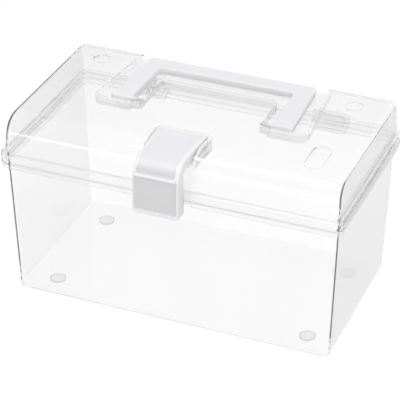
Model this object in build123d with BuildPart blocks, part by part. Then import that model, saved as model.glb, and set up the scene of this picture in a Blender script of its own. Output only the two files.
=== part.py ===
from build123d import *
import math
import os

# A clear storage case: a tub, a lid hinged along its back, a handle that folds down
# into the lid, and an L-shaped latch that hooks the front of the lid to the tub.
# Frame: X along the case, Y from the front to the back, Z up, and zero midway between
# the four feet, on the surface they stand on. Millimetres.

# Overall sizes
case_length = 223.0  # over the lid's skirt
case_depth = 123.2
rim_height = 94.2  # top face of the tub's flange
crown_height = 23.0  # from the lid's ledge up to its flat top
wall = 1.5

# Fits
seat_gap = 0.3  # between the tub's rim and the closed lid
rim_gap = 1.8  # between the tub's rim and the inside of the lid's skirt
side_gap = 0.3  # between faces that slide past each other
pin_clearance = 0.07  # radial, between a pin and its bore

# Feet, and the sockets in the lid that take the feet of a case stacked on top
foot_inset_x = 26.0  # from the case's end in to the middle of a foot
foot_inset_y = 23.6
foot_radius = 5.25
foot_height = 1.0
socket_clearance = 0.5  # radial
socket_depth = 1.0
slot_length = 27.5

# Tub
end_draft = 2.0  # degrees from upright, on the short walls
side_draft = 1.05  # and on the long ones
tub_corner = 5.0
floor_fillet = 2.0
flange_inset = 0.5  # the flange ends this far inside the lid's skirt
flange_corner = 6.0
flange_thickness = 2.0
lip_height = 3.2
lip_thickness = 1.6
upstand_height = 5.0  # wall above the flange, inside the lid's skirt

# Lid
ledge_width = 2.7
side_lean = 2.8  # how far the long walls of the crown lean in
end_lean = 0.7
shoulder_radius = 14.0  # the long round along the front
back_radius = 5.5
crown_edge = 4.0  # round of the two ends
skirt_corner = 6.5
ledge_edge = 1.2

# Handle
handle_depth = 4.6
handle_proud = 0.5  # above the lid's flat top
grip_half = 45.6  # half of the hand opening, along the bar
grip_taper = 1.0  # how much wider the opening is at the toes
arm_width = 11.0  # at the bar
toe_width = 13.0
bar_inset = 10.2  # from the skirt's back in to the bar
bar_depth = 11.2
handle_length = 56.4  # from the back of the bar to the toes' fronts
handle_outer_corner = 2.5
handle_inner_corner = 4.0
handle_edge = 0.9
handle_skin = 1.8
handle_rib = 1.4
rib_pitch = 11.0
handle_pin_radius = 1.2
handle_boss_wall = 0.7

# Recess that the handle folds into
recess_gap = 0.6  # under the folded handle
toe_gap = 3.0  # from the toes' fronts to the recess's front wall
recess_beside_toe = 10.1
recess_beside_bar = 6.4
recess_corner = 5.0
plateau_inset = 6.1  # from the toes in to the middle that stays level with the top
plateau_gap = 13.2  # from that middle back to the bar, for the fingers
plateau_corner = 5.0
bearing_pad = 2.2

# Latch and its pocket
latch_proud = 1.0  # above the lid's flat top
latch_reach = 13.6  # from the skirt out to the latch's front
latch_length = 43.2
latch_back_half = 16.2
latch_front_half = 14.7
latch_flare_round = 50.0  # between its even front and its wider back, seen from above
latch_lean = 1.0  # how far the front leans out, top to bottom
latch_shoulder = 14.0
latch_skin = 1.8
latch_front_skin = 2.4
latch_side_depth = 7.6  # of the side walls, under the top
latch_leg_depth = 8.7  # and behind the front
latch_edge = 1.5
latch_heel = 2.2
latch_pivot_inset = 3.0  # from the latch's back
latch_pin_radius = 1.8
lug_wall = 1.5
lug_thickness = 3.0
ridge_rise = 26.6  # from the latch's foot up to the ridge
ridge_half_height = 0.95
ridge_flow = 0.5  # how far above its edge the ridge starts to stand out of the shoulder
ridge_proud = 1.4
panel_recess = 0.9
panel_frame = 0.8
panel_sill = 2.4
hook_thickness = 2.3
hook_half = 12.0
hook_reach = 1.3  # how far the hook stands in under the flange
hook_chamfer = 0.5
keeper_chamfer = 0.4  # on the flange's lower edge, where the hook snaps past
pocket_gap = 0.8  # beside the latch
pocket_swing = 3.0  # behind it
pocket_under = 1.6  # and below its side walls
pocket_corner = 2.0

# Lid hinge
hinge_offset = 5.1  # from the flange's edge out to the hinge line
hinge_rise = 1.8  # from the flange's top up to the hinge line
hinge_pin_radius = 2.0
hinge_inset = 49.5  # from the case's end in to the middle of a hinge
lid_opening = 110.0  # degrees, where the clips' noses meet the shelves between the ears
clip_width = 17.0
clip_thickness = 1.95
clip_bite = 0.4  # the clip's mouth is this much inside the pin on each side, so it snaps on
nose_height = 1.5  # beyond the clip's round
nose_thickness = 1.8
shelf_thickness = 1.8
shelf_back = 1.2  # the shelf stops this far short of the hinge line
stop_clearance = 0.15
ear_thickness = 3.0
ear_wall = 1.8

# Worked out from the sizes above
upstand_top = rim_height + upstand_height
skirt_bottom = rim_height + seat_gap
ledge_underside = upstand_top + seat_gap
ledge_top = ledge_underside + wall
lid_height = ledge_top + crown_height  # the lid's flat top
rim_length = case_length - 2 * (wall + rim_gap)
rim_depth = case_depth - 2 * (wall + rim_gap)
flange_length = case_length - 2 * flange_inset
flange_depth = case_depth - 2 * flange_inset
foot_x = case_length / 2 - foot_inset_x
foot_y = case_depth / 2 - foot_inset_y
socket_radius = foot_radius + socket_clearance
slot_y = slot_length / 2 - foot_y - socket_radius
bar_back = case_depth / 2 - bar_inset
bar_front = bar_back - bar_depth
arm_bar_half = grip_half + arm_width  # out to each arm, at the bar
arm_root_inner = grip_half + grip_taper
arm_root_half = arm_root_inner + toe_width
handle_top = lid_height + handle_proud
handle_bottom = handle_top - handle_depth
recess_floor = handle_bottom - recess_gap
toe_radius = (handle_top - recess_floor - side_gap) / 2  # from the pivot to the toe's faces
handle_toe_y = bar_back - handle_length
handle_pivot_y = handle_toe_y + toe_radius
handle_pivot_z = handle_top - toe_radius
handle_boss_radius = handle_pin_radius + handle_boss_wall
plateau_half = arm_root_inner - plateau_inset
plateau_back = bar_front - plateau_gap
pad_face = plateau_half + bearing_pad
recess_front = handle_toe_y - toe_gap
recess_front_half = arm_root_half + recess_beside_toe
recess_back_half = arm_bar_half + recess_beside_bar
boss_room_front = handle_pivot_y - handle_boss_radius - 2 * side_gap
boss_room_half = arm_root_inner - side_gap
latch_top = lid_height + latch_proud
latch_front = -case_depth / 2 - latch_reach
latch_back = latch_front + latch_length
latch_even_back = latch_front + latch_shoulder + latch_edge  # its sides are parallel up to here
taper = (latch_back_half - latch_front_half) / (latch_back - latch_even_back)
lug_radius = latch_pin_radius + lug_wall
latch_pivot_y = latch_back - latch_pivot_inset
latch_pivot_z = latch_top - latch_skin - side_gap - lug_radius
lug_face = latch_back_half - taper * latch_pivot_inset - latch_skin - side_gap
latch_side_bottom = latch_top - latch_side_depth
latch_leg_back = latch_front + latch_leg_depth
hook_top = rim_height - flange_thickness - side_gap
latch_bottom = hook_top - hook_thickness
hook_tip = hook_reach - flange_depth / 2
ridge_height = latch_bottom + ridge_rise
pocket_half = latch_back_half + pocket_gap
pocket_back = latch_back + pocket_swing
pocket_floor = latch_side_bottom - pocket_under
hinge_x = case_length / 2 - hinge_inset
hinge_y = flange_depth / 2 + hinge_offset
hinge_z = rim_height + hinge_rise
clip_radius = hinge_pin_radius + pin_clearance + clip_thickness
clip_mouth = 2 * (hinge_pin_radius - clip_bite)
ear_radius = hinge_pin_radius + ear_wall
ear_inner = clip_width / 2 + side_gap
ear_root = rim_depth / 2 - wall / 2  # in the middle of the tub's wall
shelf_top = hinge_z - clip_radius - side_gap
shelf_bottom = shelf_top - shelf_thickness
above = lid_height + crown_height  # clear of everything, for cuts that run out of the top


def tub_form(bottom, inset):
    """A box with drafted walls and rounded corners, from bottom up to the rim, in by inset."""
    drop = upstand_top - bottom
    top_x = rim_length / 2 - inset
    top_y = rim_depth / 2 - inset
    low_x = top_x - drop * math.tan(math.radians(end_draft))
    low_y = top_y - drop * math.tan(math.radians(side_draft))
    with BuildPart() as form:
        with BuildSketch(Plane.XZ):
            with BuildLine():
                Polyline(
                    (-low_x, bottom), (-top_x, upstand_top), (top_x, upstand_top), (low_x, bottom), close=True
                )
            make_face()
        extrude(amount=case_depth, both=True)
        with BuildSketch(Plane.YZ):
            with BuildLine():
                Polyline(
                    (-low_y, bottom), (-top_y, upstand_top), (top_y, upstand_top), (low_y, bottom), close=True
                )
            make_face()
        extrude(amount=case_length, both=True, mode=Mode.INTERSECT)
        corners = form.edges().filter_by(lambda edge: edge.bounding_box().size.Z > drop / 2)
        fillet(corners, radius=tub_corner - inset)
        fillet(form.faces().sort_by(Axis.Z)[0].edges(), radius=floor_fillet - inset)
    return form.part


# Tub
tub_shell = tub_form(foot_height, 0.0)
tub_room = tub_form(foot_height + wall, wall)

with BuildPart() as tub:
    add(tub_shell)

    # The flange that the lid's skirt closes on to
    with BuildSketch(Plane.XY.offset(rim_height)):
        RectangleRounded(flange_length, flange_depth, flange_corner)
    extrude(amount=-flange_thickness)

    # Its lip turns down all round, except where the latch hooks on
    with BuildSketch(Plane.XY.offset(rim_height)):
        RectangleRounded(flange_length, flange_depth, flange_corner)
        RectangleRounded(
            flange_length - 2 * lip_thickness,
            flange_depth - 2 * lip_thickness,
            flange_corner - lip_thickness,
            mode=Mode.SUBTRACT,
        )
        with Locations((0, -flange_depth / 2)):
            Rectangle(2 * pocket_half, 4 * lip_thickness, mode=Mode.SUBTRACT)
    extrude(amount=-lip_height)
    keeper = tub.edges().sort_by_distance((0, -flange_depth / 2, rim_height - flange_thickness))[0]
    chamfer(keeper, length=keeper_chamfer)

    # Two hinges at the back: a pair of ears each, with a pin and a shelf between them
    for middle in (-hinge_x, hinge_x):
        for ear_x in (middle - ear_inner - ear_thickness, middle + ear_inner):
            with BuildSketch(Plane.YZ.offset(ear_x)):
                with BuildLine():
                    Polyline(
                        (ear_root, shelf_bottom),
                        (ear_root, rim_height),
                        (hinge_y - ear_radius, rim_height),
                        (hinge_y - ear_radius, hinge_z),
                        (hinge_y + ear_radius, hinge_z),
                        (ear_root + wall, shelf_bottom),
                        close=True,
                    )
                make_face()
                with Locations((hinge_y, hinge_z)):
                    Circle(ear_radius)
            extrude(amount=ear_thickness)
        with BuildSketch(Plane.YZ.offset(middle - ear_inner - ear_thickness / 2)):
            with Locations((hinge_y, hinge_z)):
                Circle(hinge_pin_radius)
            with Locations((ear_root, shelf_top)):
                Rectangle(
                    hinge_y - shelf_back - ear_root,
                    shelf_thickness,
                    align=(Align.MIN, Align.MAX),
                )
        extrude(amount=2 * ear_inner + ear_thickness)

    # Feet
    with BuildSketch(Plane.XY):
        with GridLocations(2 * foot_x, 2 * foot_y, 2, 2):
            Circle(foot_radius)
    extrude(amount=foot_height + wall / 2)
    add(tub_room, mode=Mode.SUBTRACT)


def crown_form(inset):
    """The lid's crown above its ledge, in from the outside by inset."""
    top = lid_height - inset
    rise = (top - ledge_top) / crown_height
    base_y = case_depth / 2 - ledge_width - inset
    base_x = case_length / 2 - ledge_width - inset
    top_y = base_y - side_lean * rise
    top_x = base_x - end_lean * rise
    with BuildPart() as form:
        with BuildSketch(Plane.YZ) as side:
            with BuildLine():
                Polyline(
                    (-base_y, ledge_top), (-top_y, top), (top_y, top), (base_y, ledge_top), close=True
                )
            make_face()
            upper = side.vertices().group_by(Axis.Y)[-1].sort_by(Axis.X)
            fillet(upper[0], radius=shoulder_radius - inset)
            upper = side.vertices().group_by(Axis.Y)[-1].sort_by(Axis.X)
            fillet(upper[-1], radius=back_radius - inset)
        extrude(amount=case_length / 2, both=True)
        with BuildSketch(Plane.XZ):
            with BuildLine():
                Polyline(
                    (-base_x, ledge_top), (-top_x, top), (top_x, top), (base_x, ledge_top), close=True
                )
            make_face()
        extrude(amount=case_depth, both=True, mode=Mode.INTERSECT)
        ends = form.faces().sort_by(Axis.X)
        edges = ends[0].edges() + ends[-1].edges()
        fillet(edges.filter_by(lambda edge: edge.center().Z > ledge_top + inset), radius=crown_edge - inset)
    return form.part


def recess_plan(grow):
    """The U-shaped recess seen from above, grown by grow."""
    past_lid = case_depth
    with BuildSketch() as plan:
        with BuildLine():
            Polyline(
                (-recess_front_half, recess_front),
                (-boss_room_half, recess_front),
                (-boss_room_half, boss_room_front),
                (boss_room_half, boss_room_front),
                (boss_room_half, recess_front),
                (recess_front_half, recess_front),
                (recess_back_half, case_depth / 2),
                (recess_back_half, past_lid),
                (-recess_back_half, past_lid),
                (-recess_back_half, case_depth / 2),
                close=True,
            )
        make_face()
        with Locations((0, plateau_back)):
            Rectangle(2 * plateau_half, past_lid, align=(Align.CENTER, Align.MAX), mode=Mode.SUBTRACT)
        front = plan.vertices().group_by(Axis.Y)[0].sort_by(Axis.X)
        fillet([front[0], front[-1]], radius=recess_corner)
        middle = plan.vertices().filter_by(lambda corner: abs(corner.Y - plateau_back) < wall)
        fillet(middle, radius=plateau_corner)
        if grow:
            offset(amount=grow)
    return plan.sketch


def flared_plan(front, back, grow):
    """Outline that the latch and its pocket share from above: even in front, wider at the back."""
    front_half = latch_front_half + grow
    back_half = front_half + taper * (back - latch_even_back)
    with BuildSketch() as plan:
        with BuildLine():
            Polyline(
                (-front_half, front),
                (front_half, front),
                (front_half, latch_even_back),
                (back_half, back),
                (-back_half, back),
                (-front_half, latch_even_back),
                close=True,
            )
        make_face()
        waist = plan.vertices().filter_by(lambda corner: abs(corner.Y - latch_even_back) < wall)
        fillet(waist, radius=latch_flare_round)
    return plan.sketch


def pocket_plan(grow):
    """The latch's pocket seen from above, open to the front, grown by grow."""
    with BuildSketch() as plan:
        add(flared_plan(-case_depth, pocket_back + grow, pocket_gap + grow))
        fillet(plan.vertices().group_by(Axis.Y)[-1], radius=pocket_corner + grow)
    return plan.sketch


def socket_plan():
    """Two round sockets at the back of the top, and two slots at the front."""
    with BuildSketch() as plan:
        with Locations((-foot_x, foot_y), (foot_x, foot_y)):
            Circle(socket_radius)
        with Locations((-foot_x, slot_y), (foot_x, slot_y)):
            SlotOverall(slot_length, 2 * socket_radius, rotation=90)
    return plan.sketch


# The room inside the lid follows the two deep hollows in its top, one wall away
room_form = crown_form(wall)
recess_skin = recess_plan(wall)
pocket_skin = pocket_plan(wall)

with BuildPart() as lid_room:
    add(room_form)
    extrude(lid_room.faces().sort_by(Axis.Z)[0], amount=ledge_top - skirt_bottom, dir=(0, 0, -1))
    for skin, floor in ((recess_skin, recess_floor), (pocket_skin, pocket_floor)):
        with BuildSketch(Plane.XY.offset(floor - wall)):
            add(skin)
        extrude(amount=above - floor, mode=Mode.SUBTRACT)

# Lid
lid_form = crown_form(0.0)
recess = recess_plan(0.0)
pocket = pocket_plan(0.0)
sockets = socket_plan()
socket_floor = lid_height - socket_depth

with BuildPart() as lid:
    with BuildSketch(Plane.XY.offset(skirt_bottom)):
        RectangleRounded(case_length, case_depth, skirt_corner)
    extrude(amount=ledge_top - skirt_bottom)
    fillet(lid.faces().sort_by(Axis.Z)[-1].edges(), radius=ledge_edge)
    with BuildSketch(Plane.XY.offset(skirt_bottom)):
        RectangleRounded(case_length - 2 * wall, case_depth - 2 * wall, skirt_corner - wall)
    extrude(amount=ledge_underside - skirt_bottom, mode=Mode.SUBTRACT)
    add(lid_form)
    for hollow, floor in ((recess, recess_floor), (pocket, pocket_floor), (sockets, socket_floor)):
        with BuildSketch(Plane.XY.offset(floor)):
            add(hollow)
        extrude(amount=above - floor, mode=Mode.SUBTRACT)
    add(lid_room.part, mode=Mode.SUBTRACT)

    # Bearings for the handle's pins, through the sides of the plateau
    for side in (-1, 1):
        with BuildSketch(Plane.YZ.offset(side * (plateau_half - wall / 2))):
            with Locations((handle_pivot_y, handle_pivot_z)):
                Circle(handle_boss_radius)
        extrude(amount=side * (bearing_pad + wall / 2))
        with BuildSketch(Plane.YZ.offset(side * (plateau_half - wall))):
            with Locations((handle_pivot_y, handle_pivot_z)):
                Circle(handle_pin_radius + pin_clearance)
        extrude(amount=side * (bearing_pad + 2 * wall), mode=Mode.SUBTRACT)

    # Lugs for the latch's pins, on the floor of its pocket
    for side in (-1, 1):
        with BuildSketch(Plane.YZ.offset(side * (lug_face - lug_thickness))):
            with Locations((latch_pivot_y, latch_pivot_z)):
                Circle(lug_radius)
                Rectangle(
                    2 * lug_radius,
                    latch_pivot_z - pocket_floor + wall / 2,
                    align=(Align.CENTER, Align.MAX),
                )
                Circle(latch_pin_radius + pin_clearance, mode=Mode.SUBTRACT)
        extrude(amount=side * lug_thickness)

    # Clips that snap over the tub's hinge pins, each with a nose that stops the lid open
    for middle in (-hinge_x, hinge_x):
        with BuildSketch(Plane.YZ.offset(middle - clip_width / 2)):
            with Locations((hinge_y, hinge_z)):
                Circle(clip_radius)
                Rectangle(
                    hinge_y - case_depth / 2 + wall / 2,
                    clip_radius,
                    align=(Align.MAX, Align.MIN),
                )
            with Locations(Location((hinge_y, hinge_z, 0), (0, 0, lid_opening))):
                with Locations((stop_clearance - shelf_back, 0)):
                    Rectangle(
                        nose_thickness, clip_radius + nose_height, align=(Align.MIN, Align.MAX)
                    )
            with Locations((hinge_y, hinge_z)):
                Circle(hinge_pin_radius + pin_clearance, mode=Mode.SUBTRACT)
                Rectangle(
                    clip_mouth,
                    2 * clip_radius,
                    align=(Align.CENTER, Align.MAX),
                    mode=Mode.SUBTRACT,
                )
        extrude(amount=clip_width)


def handle_plan(inset):
    """The handle's U seen from above, drawn in all round by inset."""
    with BuildSketch() as plan:
        with BuildLine():
            Polyline(
                (-arm_root_half, handle_toe_y),
                (-arm_bar_half, bar_back),
                (arm_bar_half, bar_back),
                (arm_root_half, handle_toe_y),
                (arm_root_inner, handle_toe_y),
                (grip_half, bar_front),
                (-grip_half, bar_front),
                (-arm_root_inner, handle_toe_y),
                close=True,
            )
        make_face()
        fillet(plan.vertices().group_by(Axis.Y)[-1], radius=handle_outer_corner)
        inner = plan.vertices().filter_by(lambda corner: abs(corner.Y - bar_front) < handle_skin)
        fillet(inner, radius=handle_inner_corner)
        if inset:
            offset(amount=-inset)
    return plan.sketch


# Handle: thin walled and ribbed across underneath, with a solid toe at the end of each arm
handle_outline = handle_plan(0.0)
handle_channel = handle_plan(handle_skin)
toe_back = handle_pivot_y + toe_radius
ribs_on_bar = int(2 * grip_half / rib_pitch) + 1
ribs_on_arm = int((bar_front - toe_back) / rib_pitch)

with BuildPart() as handle:
    # From the side the toe is round underneath and square in front, which stops it upright
    with BuildSketch(Plane.YZ):
        with Locations((handle_pivot_y, handle_pivot_z)):
            Circle(toe_radius)
            Rectangle(2 * toe_radius, toe_radius, align=(Align.CENTER, Align.MIN))
        with Locations((handle_pivot_y, handle_top)):
            Rectangle(bar_back - handle_pivot_y, handle_depth, align=(Align.MIN, Align.MAX))
    extrude(amount=arm_root_half, both=True)
    with BuildSketch():
        add(handle_outline)
    extrude(amount=above, mode=Mode.INTERSECT)
    rim = handle.faces().sort_by(Axis.Z)[-1].edges()
    fillet(rim.filter_by(lambda edge: edge.center().Y > handle_pivot_y), radius=handle_edge)

    # Underside, hollowed between ribs
    with BuildSketch(Plane.XY.offset(handle_bottom)):
        add(handle_channel)
        with Locations((0, toe_back)):
            Rectangle(case_length, case_depth, align=(Align.CENTER, Align.MIN), mode=Mode.INTERSECT)
        with Locations((0, bar_back)):
            with GridLocations(rib_pitch, 1, ribs_on_bar, 1):
                Rectangle(handle_rib, 2 * bar_depth, mode=Mode.SUBTRACT)
        with Locations((0, (toe_back + bar_front) / 2)):
            with GridLocations(1, rib_pitch, 1, ribs_on_arm):
                Rectangle(case_length, handle_rib, mode=Mode.SUBTRACT)
    extrude(amount=handle_depth - handle_skin, mode=Mode.SUBTRACT)

    # Boss and pin that reach in from each toe to the lid's bearings
    for side in (-1, 1):
        with BuildSketch(Plane.YZ.offset(side * (pad_face + side_gap))):
            with Locations((handle_pivot_y, handle_pivot_z)):
                Circle(handle_boss_radius)
        extrude(amount=side * (arm_root_inner - pad_face))
        with BuildSketch(Plane.YZ.offset(side * (plateau_half - wall + side_gap))):
            with Locations((handle_pivot_y, handle_pivot_z)):
                Circle(handle_pin_radius)
        extrude(amount=side * (bearing_pad + 2 * wall))


def latch_front_at(height):
    """Where the plane of the latch's front stands at a height."""
    return latch_front - latch_lean * (latch_top - height) / (latch_top - latch_bottom)


def shoulder_front_at(height):
    """Where the latch's surface stands at a height on its round shoulder."""
    rise = height - latch_top + latch_shoulder
    return latch_front_at(height) + latch_shoulder - math.sqrt(latch_shoulder**2 - rise**2)


def latch_side(top, front, bottom, back, corner):
    """The latch's L seen from the side: flat on top, round over its shoulder, leaning out below."""
    with BuildSketch() as side:
        with BuildLine():
            Polyline(
                (back, top),
                (latch_front_at(top) + front, top),
                (latch_front_at(bottom) + front, bottom),
                (back, bottom),
                close=True,
            )
        make_face()
        fillet(side.vertices().group_by(Axis.Y)[-1].sort_by(Axis.X)[0], radius=corner)
    return side.sketch


# Latch
latch_outer = latch_side(latch_top, 0.0, latch_bottom, latch_back, latch_shoulder)
latch_inner = latch_side(
    latch_top - latch_skin,
    latch_front_skin,
    latch_bottom - wall,
    latch_back + wall,
    latch_shoulder - latch_front_skin,
)
latch_outline = flared_plan(-case_depth, latch_back + latch_heel, 0.0)
latch_inside = flared_plan(-case_depth, latch_back + latch_heel, -latch_skin)
panel_half = latch_front_half - panel_frame
ridge_half = latch_front_half - latch_edge  # it ends where the edges start to round
panel_top = ridge_height - 2 * ridge_half_height
ridge_top = ridge_height + ridge_half_height

# The space under its skin, between its side walls
with BuildPart() as latch_room:
    with BuildSketch(Plane.YZ):
        add(latch_inner)
    extrude(amount=pocket_half, both=True)
    with BuildSketch():
        add(latch_inside)
    extrude(amount=above, mode=Mode.INTERSECT)

with BuildPart() as latch:
    with BuildSketch(Plane.YZ) as side_view:
        add(latch_outer)
        with Locations((latch_leg_back, latch_side_bottom)):
            Rectangle(
                latch_back - latch_leg_back,
                latch_side_bottom - latch_bottom,
                align=(Align.MIN, Align.MAX),
                mode=Mode.SUBTRACT,
            )
        heel = side_view.vertices().sort_by_distance((latch_back, latch_side_bottom))[0]
        fillet(heel, radius=latch_heel)
    extrude(amount=pocket_half, both=True)
    with BuildSketch():
        add(latch_outline)
    extrude(amount=above, mode=Mode.INTERSECT)

    # The skin's outer edges are rounded, along its back and down both sides of its front
    back_edge = latch.edges().filter_by(Axis.X).sort_by_distance((0, latch_back, latch_top))[0]
    skin = latch.faces().sort_by_distance((0, latch_front, ridge_height))[0]
    shoulder = latch.faces().sort_by_distance((0, latch_front, latch_top))[0]
    top = latch.faces().sort_by(Axis.Z)[-1]
    long_edges = (skin.edges() + shoulder.edges() + top.edges()).filter_by(
        lambda edge: abs(edge.center().X) > latch_front_half / 2
    )
    fillet(long_edges + ShapeList([back_edge]), radius=latch_edge)
    add(latch_room.part, mode=Mode.SUBTRACT)

    # Lower panel, sunk within a narrow frame
    with BuildSketch(Plane.YZ):
        with BuildLine():
            Polyline(
                (latch_front_at(latch_bottom) - latch_front_skin, latch_bottom + panel_sill),
                (latch_front_at(latch_bottom) + panel_recess, latch_bottom + panel_sill),
                (latch_front_at(panel_top) + panel_recess, panel_top),
                (latch_front_at(panel_top) - latch_front_skin, panel_top),
                close=True,
            )
        make_face()
    extrude(amount=panel_half, both=True, mode=Mode.SUBTRACT)

    # Ridge above it, for a fingertip, and the hook behind its foot
    with BuildSketch(Plane.YZ):
        with BuildLine():
            Polyline(
                (shoulder_front_at(ridge_top) + panel_recess, ridge_top),
                (shoulder_front_at(ridge_top + ridge_flow), ridge_top + ridge_flow),
                (latch_front_at(ridge_height) - ridge_proud, ridge_top),
                (latch_front_at(ridge_height) - ridge_proud, ridge_height - ridge_half_height),
                (latch_front_at(panel_top), panel_top),
                (shoulder_front_at(ridge_top) + panel_recess, panel_top),
                close=True,
            )
        make_face()
    extrude(amount=ridge_half, both=True)
    with BuildSketch(Plane.YZ) as hook:
        with Locations((hook_tip, hook_top)):
            Rectangle(
                hook_tip - latch_front - latch_front_skin / 2,
                hook_thickness,
                align=(Align.MAX, Align.MAX),
            )
        tip = hook.vertices().group_by(Axis.Y)[-1].sort_by(Axis.X)[-1]
        chamfer(tip, length=hook_chamfer)
    extrude(amount=hook_half, both=True)

    # Pins that reach in to the lid's lugs
    for side in (-1, 1):
        with BuildSketch(Plane.YZ.offset(side * (lug_face - lug_thickness))):
            with Locations((latch_pivot_y, latch_pivot_z)):
                Circle(latch_pin_radius)
        extrude(amount=side * (lug_thickness + side_gap + latch_skin / 2))

os.makedirs("parts", exist_ok=True)
tub.part.label = "tub"
lid.part.label = "lid"
handle.part.label = "handle"
latch.part.label = "latch"
for piece in (tub, lid, handle, latch):
    export_step(piece.part, f"parts/{piece.part.label}.step")
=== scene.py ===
import bpy
import math
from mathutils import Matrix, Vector

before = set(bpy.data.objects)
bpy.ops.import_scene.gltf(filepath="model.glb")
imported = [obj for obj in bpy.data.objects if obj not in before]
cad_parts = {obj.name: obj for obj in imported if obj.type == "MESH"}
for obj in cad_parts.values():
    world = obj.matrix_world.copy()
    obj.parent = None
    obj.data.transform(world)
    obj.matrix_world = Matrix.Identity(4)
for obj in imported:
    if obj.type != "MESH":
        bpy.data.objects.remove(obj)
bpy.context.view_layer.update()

print("stage: frame loaded")


# camera
cameraSetup = {
    "azimuth": 22.15,        # degrees round from the front towards the right
    "elevation": 31.37,      # degrees above level
    "place": (0.38585, -0.95236, 0.68432),
    "lens": 170.9,           # mm
    "sensor": 36,            # mm wide
    "near": 0.05,
    "far": 50,
}


def addCamera(setup):
    data = bpy.data.cameras.new("viewCamera")
    data.lens = setup["lens"]
    data.sensor_width = setup["sensor"]
    data.clip_start = setup["near"]
    data.clip_end = setup["far"]
    camera = bpy.data.objects.new("viewCamera", data)
    camera.location = setup["place"]
    tilt = math.radians(90 - setup["elevation"])
    camera.rotation_euler = (tilt, 0, math.radians(setup["azimuth"]))
    bpy.context.collection.objects.link(camera)
    bpy.context.scene.camera = camera


addCamera(cameraSetup)
print("stage: camera")


# small steps that every node tree here is built from
def nodeTree(owner):
    owner.use_nodes = True
    tree = owner.node_tree
    tree.nodes.clear()
    return tree


def mathNode(tree, operation, first, second=None):
    node = tree.nodes.new("ShaderNodeMath")
    node.operation = operation
    for socket, value in zip(node.inputs, (first, second)):
        if isinstance(value, (int, float)):
            socket.default_value = value
        elif value is not None:
            tree.links.new(value, socket)
    return node.outputs[0]


def times(tree, *values):
    total = values[0]
    for value in values[1:]:
        total = mathNode(tree, "MULTIPLY", total, value)
    return total


def plusShare(tree, base, mask, share):
    return mathNode(tree, "ADD", times(tree, mask, share), base)


# goes smoothly from low to high while the value goes from start to end
def rangeNode(tree, value, start, end, low, high):
    node = tree.nodes.new("ShaderNodeMapRange")
    node.interpolation_type = "SMOOTHSTEP"
    tree.links.new(value, node.inputs["Value"])
    numbers = {"From Min": start, "From Max": end, "To Min": low, "To Max": high}
    for label, number in numbers.items():
        node.inputs[label].default_value = number
    return node.outputs[0]


def mixColour(tree, factor, first, second):
    node = tree.nodes.new("ShaderNodeMix")
    node.data_type = "RGBA"
    tree.links.new(factor, node.inputs["Factor"])
    for label, value in (("A", first), ("B", second)):
        if isinstance(value, tuple):
            node.inputs[label].default_value = value
        else:
            tree.links.new(value, node.inputs[label])
    return node.outputs["Result"]


def splitVector(tree, vector):
    node = tree.nodes.new("ShaderNodeSeparateXYZ")
    tree.links.new(vector, node.inputs[0])
    return node.outputs["X"], node.outputs["Y"], node.outputs["Z"]


def dotNode(tree, first, second):
    node = tree.nodes.new("ShaderNodeVectorMath")
    node.operation = "DOT_PRODUCT"
    tree.links.new(first, node.inputs[0])
    if isinstance(second, tuple):
        node.inputs[1].default_value = second
    else:
        tree.links.new(second, node.inputs[1])
    return node.outputs["Value"]


def noiseNode(tree, vector, pattern):
    mapping = tree.nodes.new("ShaderNodeMapping")
    mapping.inputs["Scale"].default_value = pattern["stretch"]
    tree.links.new(vector, mapping.inputs["Vector"])
    node = tree.nodes.new("ShaderNodeTexNoise")
    node.inputs["Scale"].default_value = pattern["scale"]
    node.inputs["Detail"].default_value = pattern["detail"]
    tree.links.new(mapping.outputs[0], node.inputs["Vector"])
    return node.outputs["Fac"]


def bumpNode(tree, height, distance, under=None):
    node = tree.nodes.new("ShaderNodeBump")
    node.inputs["Strength"].default_value = 1.0
    node.inputs["Distance"].default_value = distance
    tree.links.new(height, node.inputs["Height"])
    if under is not None:
        tree.links.new(under, node.inputs["Normal"])
    return node.outputs[0]


# a shader for each kind of ray that meets the room or the floor
def mixShaders(tree, rayKind, first, second):
    path = tree.nodes.new("ShaderNodeLightPath")
    node = tree.nodes.new("ShaderNodeMixShader")
    tree.links.new(path.outputs[rayKind], node.inputs[0])
    tree.links.new(first.outputs[0], node.inputs[1])
    tree.links.new(second.outputs[0], node.inputs[2])
    return node


def byRay(tree, lit, mirrored, through, seen):
    shown = mixShaders(tree, "Is Glossy Ray", lit, mirrored)
    shown = mixShaders(tree, "Is Transmission Ray", shown, through)
    return mixShaders(tree, "Is Camera Ray", shown, seen)


# light: a pale tent, brightest from the front right and above
roomLight = {
    "brightSide": (0.6, -0.6, 0.53),
    "bright": 1.36,
    "brightFrom": 0.9,       # 1 is straight from the bright side, -1 straight from the other
    "dim": 1.0,
    "dimFrom": -0.6,
    "mirrored": 0.95,        # as the plastic reflects it
    "seenThrough": 1.05,     # as it shows through the clear walls
    "seen": 1.0,             # as the camera sees it
}


def backgroundOf(tree, strength):
    node = tree.nodes.new("ShaderNodeBackground")
    if isinstance(strength, float):
        node.inputs["Strength"].default_value = strength
    else:
        tree.links.new(strength, node.inputs["Strength"])
    return node


def addRoom(setup):
    world = bpy.data.worlds.new("paleTent")
    bpy.context.scene.world = world
    tree = nodeTree(world)
    coords = tree.nodes.new("ShaderNodeTexCoord")
    side = dotNode(tree, coords.outputs["Generated"], setup["brightSide"])
    strength = rangeNode(
        tree, side, setup["dimFrom"], setup["brightFrom"], setup["dim"], setup["bright"])
    shown = byRay(
        tree,
        lit=backgroundOf(tree, strength),
        mirrored=backgroundOf(tree, setup["mirrored"]),
        through=backgroundOf(tree, setup["seenThrough"]),
        seen=backgroundOf(tree, setup["seen"]),
    )
    out = tree.nodes.new("ShaderNodeOutputWorld")
    tree.links.new(shown.outputs[0], out.inputs["Surface"])


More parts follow.
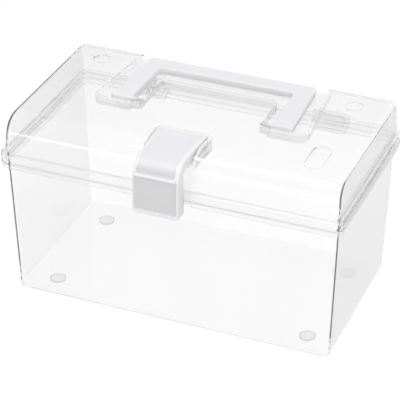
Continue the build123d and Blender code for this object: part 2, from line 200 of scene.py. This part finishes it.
floorLook = {
    "size": 12,
    "drop": 0.0002,          # below the feet, so that no two faces lie in one plane
    "card": 0.85,            # how much light it throws back on the object
    "glow": 0.96,            # as the camera sees it
    "glowThrough": 1.02,     # as it shows through the clear walls
    "shade": 0.07,           # how deep the object's shadow looks
    "mirrored": 0.95,        # as the plastic reflects it
}


def diffuseOf(tree, grey):
    node = tree.nodes.new("ShaderNodeBsdfDiffuse")
    node.inputs["Color"].default_value = (grey, grey, grey, 1)
    return node


def glowOf(tree, strength):
    node = tree.nodes.new("ShaderNodeEmission")
    node.inputs["Strength"].default_value = strength
    return node


def glowWithShade(tree, strength, shade):
    node = tree.nodes.new("ShaderNodeAddShader")
    tree.links.new(diffuseOf(tree, shade).outputs[0], node.inputs[0])
    tree.links.new(glowOf(tree, strength).outputs[0], node.inputs[1])
    return node


def addFloor(look):
    bpy.ops.mesh.primitive_plane_add(size=look["size"], location=(0, 0, -look["drop"]))
    floor = bpy.context.object
    floor.name = "floor"
    material = bpy.data.materials.new("paleFloor")
    tree = nodeTree(material)
    shown = byRay(
        tree,
        lit=diffuseOf(tree, look["card"]),
        mirrored=glowOf(tree, look["mirrored"]),
        through=glowWithShade(tree, look["glowThrough"], look["shade"]),
        seen=glowWithShade(tree, look["glow"], look["shade"]),
    )
    out = tree.nodes.new("ShaderNodeOutputMaterial")
    tree.links.new(shown.outputs[0], out.inputs["Surface"])
    floor.data.materials.append(material)


# two lamps that only shine on the gloss, for bright bands on the lid's round
softboxes = {
    "overLight": {
        "place": (-0.17, -0.48, 1.09),
        "target": (0.08, -0.05, 0.12),
        "size": (0.36, 0.42),
        "power": 6,
    },
    "frontLight": {
        "place": (-0.32, -0.95, 0.16),
        "target": (0, -0.05, 0.12),
        "size": (0.9, 0.16),
        "power": 2,
    },
}


def addSoftbox(name, setup):
    data = bpy.data.lights.new(name, "AREA")
    data.shape = "RECTANGLE"
    data.size, data.size_y = setup["size"]
    data.energy = setup["power"]
    lamp = bpy.data.objects.new(name, data)
    lamp.location = setup["place"]
    aim = Vector(setup["target"]) - Vector(setup["place"])
    lamp.rotation_euler = aim.to_track_quat("-Z", "Y").to_euler()
    lamp.visible_diffuse = False
    lamp.visible_transmission = False
    bpy.context.collection.objects.link(lamp)


addRoom(roomLight)
addFloor(floorLook)
for name, setup in softboxes.items():
    addSoftbox(name, setup)
print("stage: light")


# effects: each is a node group that is built once
def newGroup(name, takes, gives):
    group = bpy.data.node_groups.new(name, "ShaderNodeTree")
    for label, kind in takes.items():
        group.interface.new_socket(name=label, in_out="INPUT", socket_type=kind)
    for label in gives:
        group.interface.new_socket(name=label, in_out="OUTPUT", socket_type="NodeSocketFloat")
    entry = group.nodes.new("NodeGroupInput")
    leave = group.nodes.new("NodeGroupOutput")
    return group, entry, leave


def useGroup(tree, group, vector=None):
    node = tree.nodes.new("ShaderNodeGroup")
    node.node_tree = group
    if vector is not None:
        tree.links.new(vector, node.inputs["Vector"])
    return node


# what moulding and handling leave in every piece
markPatterns = {
    "flow": {"scale": 22, "detail": 2, "stretch": (1, 1, 1)},
    "cloudFrom": 0.3,        # the part of the flow that shows as a cloud
    "cloudTo": 0.7,
    "grain": {"scale": 1400, "detail": 3, "stretch": (1, 1, 1)},
    "scratches": (           # streaks of noise, of which only the crests show
        {"scale": 30, "detail": 4, "stretch": (1, 34, 30), "from": 0.66, "to": 0.70},
        {"scale": 26, "detail": 4, "stretch": (30, 1, 1.6), "from": 0.68, "to": 0.72},
    ),
}


def mouldMarks(patterns):
    group, entry, leave = newGroup(
        "mouldMarks", {"Vector": "NodeSocketVector"}, ("Flow", "Cloud", "Grain", "Scratch"))
    link = group.links.new
    where = entry.outputs["Vector"]
    flow = noiseNode(group, where, patterns["flow"])
    cloud = rangeNode(group, flow, patterns["cloudFrom"], patterns["cloudTo"], 0, 1)
    streaks = [
        rangeNode(group, noiseNode(group, where, streak), streak["from"], streak["to"], 0, 1)
        for streak in patterns["scratches"]
    ]
    link(flow, leave.inputs["Flow"])
    link(cloud, leave.inputs["Cloud"])
    link(noiseNode(group, where, patterns["grain"]), leave.inputs["Grain"])
    link(mathNode(group, "MAXIMUM", *streaks), leave.inputs["Scratch"])
    return group


# finds the edges, where the rounded normal turns away from the flat one: the mask for the
# painted edge light
edgeTurn = {
    "samples": 6,
    "sharp": 0.75,           # cosine of the turn: below this it is all edge
    "flat": 0.995,           # and above this it is none
}


def edgeLight(turn):
    group, entry, leave = newGroup("edgeLight", {"Radius": "NodeSocketFloat"}, ("Mask",))
    bevel = group.nodes.new("ShaderNodeBevel")
    bevel.samples = turn["samples"]
    group.links.new(entry.outputs["Radius"], bevel.inputs["Radius"])
    surface = group.nodes.new("ShaderNodeNewGeometry")
    cosine = dotNode(group, bevel.outputs[0], surface.outputs["True Normal"])
    mask = rangeNode(group, cosine, turn["sharp"], turn["flat"], 1, 0)
    group.links.new(mask, leave.inputs["Mask"])
    return group


def newMaterial(name):
    material = bpy.data.materials.new(name)
    tree = nodeTree(material)
    coords = tree.nodes.new("ShaderNodeTexCoord")
    shader = tree.nodes.new("ShaderNodeBsdfPrincipled")
    out = tree.nodes.new("ShaderNodeOutputMaterial")
    tree.links.new(shader.outputs[0], out.inputs["Surface"])
    return material, tree, coords, shader


# clear plastic of the tub and the lid
tubLook = {
    "colour": (1.0, 1.0, 1.0, 1),
    "cloudColour": (0.991, 0.991, 0.992, 1),
    "edgePaintedTone": (0.72, 0.72, 0.725, 1),   # painted shade where a wall is seen almost along itself: partly the longer path through the plastic, partly standing in for darker reflections
    "edgeStart": 0.40,
    "edgeEnd": 0.70,
    "lineColour": (0.86, 0.86, 0.86, 1),    # less of that painted shade where it is seen quite along itself, at the rounded corners
    "lineStart": 0.76,
    "lineEnd": 0.94,
    "padColour": (0.74, 0.74, 0.75, 1),
    "padRimColour": (0.52, 0.52, 0.54, 1),
    "through": 0.95,
    "bend": 1.1,             # index of refraction, kept low so that the walls stay pale
    "coatBend": 1.49,
    "coatRoughness": 0.05,
    "roughness": 0.03,
    "flowRoughness": 0.03,
    "scratchRoughness": 0.12,
    "padRoughness": 0.45,
    "flowHeight": 0.00010,
    "feet": {                # the pad under each foot: frosted, and drawn greyer with a darker rim
        "x": 0.0855,
        "y": 0.038,
        "radius": 0.00525,
        "padFrom": 0.0003,   # inside the radius, where the frost starts to fade
        "padTo": 0.0002,     # outside the radius, where it is gone
        "rimFrom": 0.0015,   # inside the radius, where the darker rim starts
        "rimTo": 0.0005,     # and where it is full
        "height": 0.0014,
        "heightFade": 0.0004,
    },
}
lidLook = dict(
    tubLook,
    colour=(0.980, 0.980, 0.980, 1),
    cloudColour=(0.970, 0.970, 0.971, 1),
    edgePaintedTone=(0.62, 0.62, 0.63, 1),
    edgeStart=0.48,
    feet=None,
)


def footPads(feet):
    group, entry, leave = newGroup("footPads", {"Vector": "NodeSocketVector"}, ("Pad", "Rim"))
    x, y, z = splitVector(group, entry.outputs["Vector"])
    offX = mathNode(group, "SUBTRACT", mathNode(group, "ABSOLUTE", x), feet["x"])
    offY = mathNode(group, "SUBTRACT", mathNode(group, "ABSOLUTE", y), feet["y"])
    square = mathNode(group, "ADD", times(group, offX, offX), times(group, offY, offY))
    reach = mathNode(group, "SQRT", square)
    radius = feet["radius"]
    disc = rangeNode(group, reach, radius - feet["padFrom"], radius + feet["padTo"], 1, 0)
    ring = rangeNode(group, reach, radius - feet["rimFrom"], radius - feet["rimTo"], 0, 1)
    low = rangeNode(group, z, feet["height"], feet["height"] + feet["heightFade"], 1, 0)
    pad = times(group, disc, low)
    group.links.new(pad, leave.inputs["Pad"])
    group.links.new(times(group, pad, ring), leave.inputs["Rim"])
    return group


def clearPlastic(name, look, marks):
    material, tree, coords, shader = newMaterial(name)
    link = tree.links.new
    where = coords.outputs["Object"]
    mark = useGroup(tree, marks, where).outputs
    facing = tree.nodes.new("ShaderNodeLayerWeight").outputs["Facing"]
    steep = rangeNode(tree, facing, look["edgeStart"], look["edgeEnd"], 0, 1)
    line = rangeNode(tree, facing, look["lineStart"], look["lineEnd"], 0, 1)
    body = mixColour(tree, mark["Cloud"], look["colour"], look["cloudColour"])
    # painted shade on walls seen at a glance, eased off at the rounded corners; partly the
    # longer path through the plastic
    body = mixColour(tree, steep, body, look["edgePaintedTone"])
    body = mixColour(tree, line, body, look["lineColour"])
    rough = plusShare(tree, look["roughness"], mark["Cloud"], look["flowRoughness"])
    rough = plusShare(tree, rough, mark["Scratch"], look["scratchRoughness"])
    if look["feet"]:
        pads = useGroup(tree, footPads(look["feet"]), where).outputs
        body = mixColour(tree, pads["Pad"], body, look["padColour"])
        body = mixColour(tree, pads["Rim"], body, look["padRimColour"])
        rough = plusShare(tree, rough, pads["Pad"], look["padRoughness"])
    link(body, shader.inputs["Base Color"])
    link(rough, shader.inputs["Roughness"])
    shader.inputs["IOR"].default_value = look["bend"]
    shader.inputs["Transmission Weight"].default_value = look["through"]
    shader.inputs["Coat Weight"].default_value = 1.0
    shader.inputs["Coat IOR"].default_value = look["coatBend"]
    shader.inputs["Coat Roughness"].default_value = look["coatRoughness"]
    link(bumpNode(tree, mark["Flow"], look["flowHeight"]), shader.inputs["Normal"])
    return material


# white plastic of the handle and the latch
handleLook = {
    "colour": (0.885, 0.868, 0.928, 1),
    "shadeColour": (0.872, 0.855, 0.917, 1),
    "edgePaintedTone": (0.99, 0.988, 0.995, 1),   # painted light: edges drawn lighter, for the light that shows through thin edges and catches on the rounds
    "edgeReach": 0.0011,
    "wallPaintedLight": (0.985, 0.978, 0.995, 1),  # painted light: the upright walls drawn lighter as well
    "wallUpright": 0.3,      # upward part of the normal: below this it is a wall
    "wallLevel": 0.8,        # and above this it is none
    "bend": 1.49,            # index of refraction
    "specular": 0.3,
    "glow": 0.6,             # light that spreads under the surface
    "glowReach": (0.0050, 0.0048, 0.0052),
    "glowScale": 1.0,
    "roughness": 0.26,
    "grainRoughness": 0.14,
    "grainHeight": 0.000012,
    "flowHeight": 0.00008,
    "front": None,
}
latchLook = dict(
    handleLook,
    wallPaintedLight=None,
    panelPaintedShade=(0.725, 0.716, 0.730, 1),    # painted shade on the sunk panel under the ridge
    # painted highlight along the rounded top edges and on the ridge
    borderPaintedHighlight=(0.99, 0.985, 0.995, 1),
    shoulderPaintedShade=(0.72, 0.705, 0.735, 1),  # painted shade at the foot of the round, just above the ridge, where it turns towards the front
    front={
        "soft": 0.0003,      # half the width over which a mask fades
        "panelHalf": 0.0139,
        "panelTop": 0.1143,
        "panelFoot": 0.0920,
        "panelBehind": -0.0732,
        "sideHalf": 0.0147,  # half the width at the front
        "flare": 0.0015,     # and how much more at the back
        "flareStart": -0.0597,
        "back": -0.0320,
        "border": 0.0022,
        # the band of painted highlight on the ridge
        "ridgeFoot": 0.1156,
        "ridgeTop": 0.1170,
        "shoulderTop": 0.1246,
        "shoulderFoot": 0.1172,
        "shoulderBehind": -0.0630,
        "shoulderFade": 0.004,
    },
)


# masks for the painted shade and highlights on the latch
def latchLightAndShade(front):
    group, entry, leave = newGroup(
        "latchLightAndShade", {"Vector": "NodeSocketVector"}, ("Panel", "BorderHighlight", "ShoulderShade"))
    link = group.links.new
    x, y, z = splitVector(group, entry.outputs["Vector"])
    across = mathNode(group, "ABSOLUTE", x)
    soft = front["soft"]

    def under(value, limit):
        return rangeNode(group, value, limit - soft, limit + soft, 1, 0)

    def over(value, limit):
        return rangeNode(group, value, limit - soft, limit + soft, 0, 1)

    # painted shade: the mask of the sunk panel under the ridge
    ahead = under(y, front["panelBehind"])
    upright = times(group, under(z, front["panelTop"]), over(z, front["panelFoot"]))
    panel = times(group, under(across, front["panelHalf"]), upright, ahead)
    link(panel, leave.inputs["Panel"])

    # painted highlight along the sides and back of the top, and on the ridge
    flare = rangeNode(group, y, front["flareStart"], front["back"], 0, front["flare"])
    toSide = mathNode(group, "SUBTRACT", across, flare)
    toSide = mathNode(group, "SUBTRACT", toSide, front["sideHalf"])
    toBack = mathNode(group, "SUBTRACT", y, front["back"])
    border = over(mathNode(group, "MAXIMUM", toSide, toBack), -front["border"])
    aboveFoot = rangeNode(group, z, front["ridgeFoot"], front["ridgeFoot"] + soft, 0, 1)
    belowTop = rangeNode(group, z, front["ridgeTop"], front["ridgeTop"] + soft, 1, 0)
    ridge = times(group, aboveFoot, belowTop, ahead)
    link(mathNode(group, "MAXIMUM", border, ridge), leave.inputs["BorderHighlight"])

    # painted shade down the round above the ridge
    foot, behind = front["shoulderFoot"], front["shoulderBehind"]
    fade = rangeNode(group, z, front["shoulderTop"], foot, 0, 1)
    stop = rangeNode(group, z, foot - 2 * soft, foot, 0, 1)
    near = rangeNode(group, y, behind - front["shoulderFade"], behind, 1, 0)
    link(times(group, fade, stop, near), leave.inputs["ShoulderShade"])
    return group


def whitePlastic(name, look, marks, edges):
    material, tree, coords, shader = newMaterial(name)
    link = tree.links.new
    where = coords.outputs["Object"]
    mark = useGroup(tree, marks, where).outputs
    edge = useGroup(tree, edges)
    edge.inputs["Radius"].default_value = look["edgeReach"]
    body = mixColour(tree, mark["Cloud"], look["colour"], look["shadeColour"])
    # painted light: upright walls drawn lighter
    if look["wallPaintedLight"]:
        upward = mathNode(tree, "ABSOLUTE", splitVector(tree, coords.outputs["Normal"])[2])
        wall = rangeNode(tree, upward, look["wallUpright"], look["wallLevel"], 1, 0)
        body = mixColour(tree, wall, body, look["wallPaintedLight"])
    if look["front"]:
        front = useGroup(tree, latchLightAndShade(look["front"]), where).outputs
        # painted shade down the round above the ridge
        body = mixColour(tree, front["ShoulderShade"], body, look["shoulderPaintedShade"])
        # painted highlight on the top edges and the ridge
        body = mixColour(tree, front["BorderHighlight"], body, look["borderPaintedHighlight"])
        # painted shade on the sunk panel
        body = mixColour(tree, front["Panel"], body, look["panelPaintedShade"])
    # painted light along the edges
    body = mixColour(tree, edge.outputs["Mask"], body, look["edgePaintedTone"])
    rough = plusShare(tree, look["roughness"], mark["Grain"], look["grainRoughness"])
    link(body, shader.inputs["Base Color"])
    link(rough, shader.inputs["Roughness"])
    shader.inputs["IOR"].default_value = look["bend"]
    shader.inputs["Specular IOR Level"].default_value = look["specular"]
    shader.inputs["Subsurface Weight"].default_value = look["glow"]
    shader.inputs["Subsurface Radius"].default_value = look["glowReach"]
    shader.inputs["Subsurface Scale"].default_value = look["glowScale"]
    ripple = bumpNode(tree, mark["Flow"], look["flowHeight"])
    ripple = bumpNode(tree, mark["Grain"], look["grainHeight"], ripple)
    link(ripple, shader.inputs["Normal"])
    return material


marks = mouldMarks(markPatterns)
edges = edgeLight(edgeTurn)
finishes = {
    "tub": clearPlastic("clearTub", tubLook, marks),
    "lid": clearPlastic("clearLid", lidLook, marks),
    "handle": whitePlastic("whiteHandle", handleLook, marks, edges),
    "latch": whitePlastic("whiteLatch", latchLook, marks, edges),
}
for name, finish in finishes.items():
    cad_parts[name].material_slots[0].material = finish
print("stage: finishes")

bpy.context.scene.view_settings.view_transform = "Standard"
